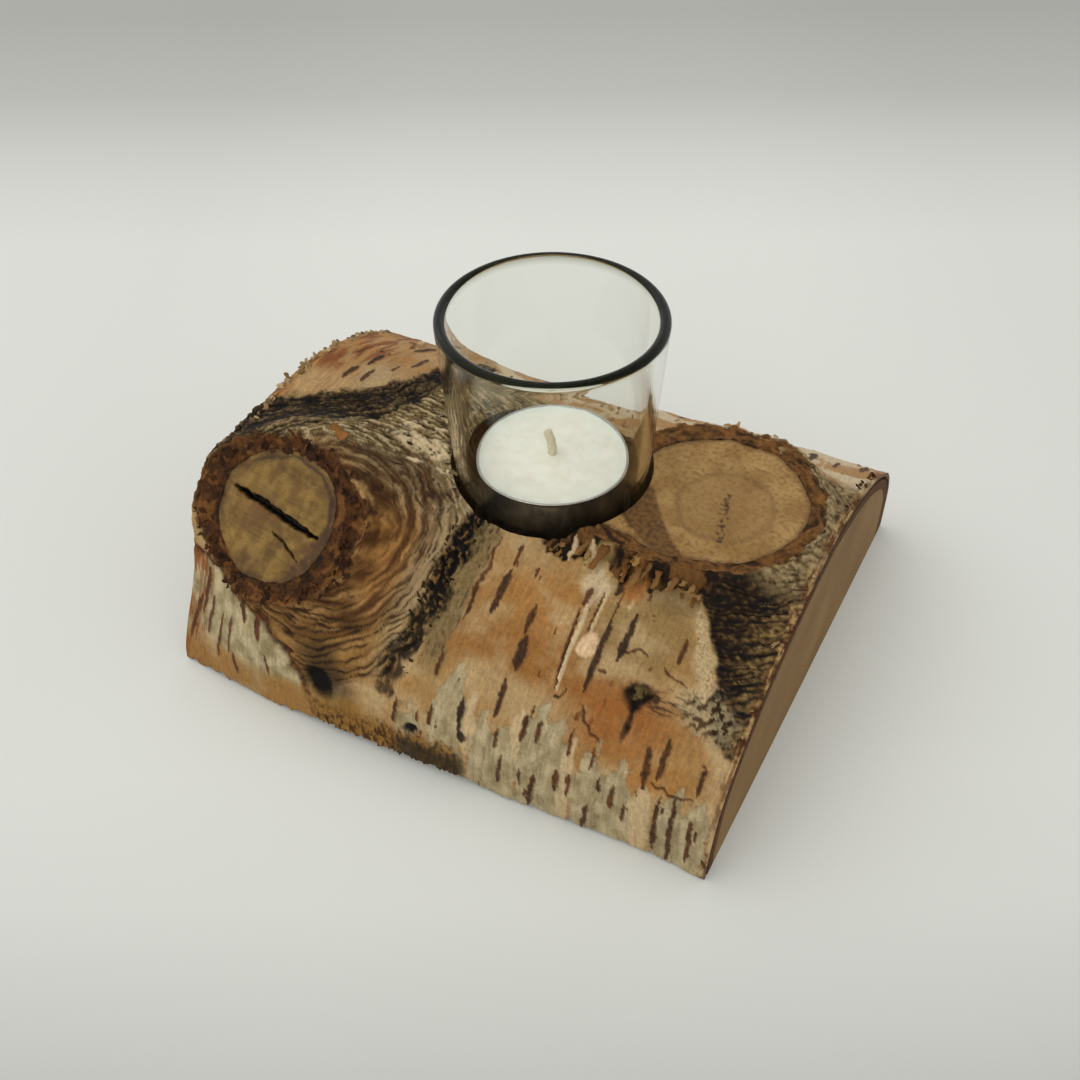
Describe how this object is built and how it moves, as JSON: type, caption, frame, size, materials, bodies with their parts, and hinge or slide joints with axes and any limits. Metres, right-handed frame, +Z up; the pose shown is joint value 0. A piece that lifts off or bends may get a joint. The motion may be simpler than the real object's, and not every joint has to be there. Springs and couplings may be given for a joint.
{
  "type": "tealight holder",
  "caption": "Sawn half-log block with bark and trimmed branch stubs, bored to seat a clear glass cup that holds a tealight.",
  "frame": {"origin": "on the flat base, straight below the axis of the bore", "axes": "+X along the log, towards the end with the upright branch stub; +Y to the back; +Z up, out of the bore"},
  "size_m": [0.1472, 0.1359, 0.093],
  "materials": {
    "sawn_birch": "sawn, matt",
    "branch_wood": "sawn, matt",
    "inner_bark": "rough, fibrous",
    "birch_bark": "papery, satin",
    "clear_glass": "pressed, clear",
    "aluminium_foil": "drawn, bright",
    "white_wax": "waxy, slightly translucent",
    "tinned_steel": "tinned",
    "cotton_wick": "braided, waxed"
  },
  "bodies": {
    "log": {"wood_body": "sawn_birch", "left_branch_stub": "branch_wood", "right_branch_stub": "branch_wood", "inner_bark": "inner_bark", "outer_bark": "birch_bark"},
    "glass": {"glass_cup": "clear_glass"},
    "tealight": {"tealight_cup": "aluminium_foil"},
    "candle": {"candle_wax": "white_wax", "wick_sustainer": "tinned_steel", "wick": "cotton_wick"}
  },
  "joints": [
    {"name": "glass_lift", "type": "slide", "parent": "log", "child": "glass", "axis": [0, 0, 1], "range_m": [0, 0.03]},
    {"name": "tealight_lift", "type": "slide", "parent": "glass", "child": "tealight", "axis": [0, 0, 1], "range_m": [0, 0.06]},
    {"name": "candle_lift", "type": "slide", "parent": "tealight", "child": "candle", "axis": [0, 0, 1], "range_m": [0, 0.018]}
  ]
}
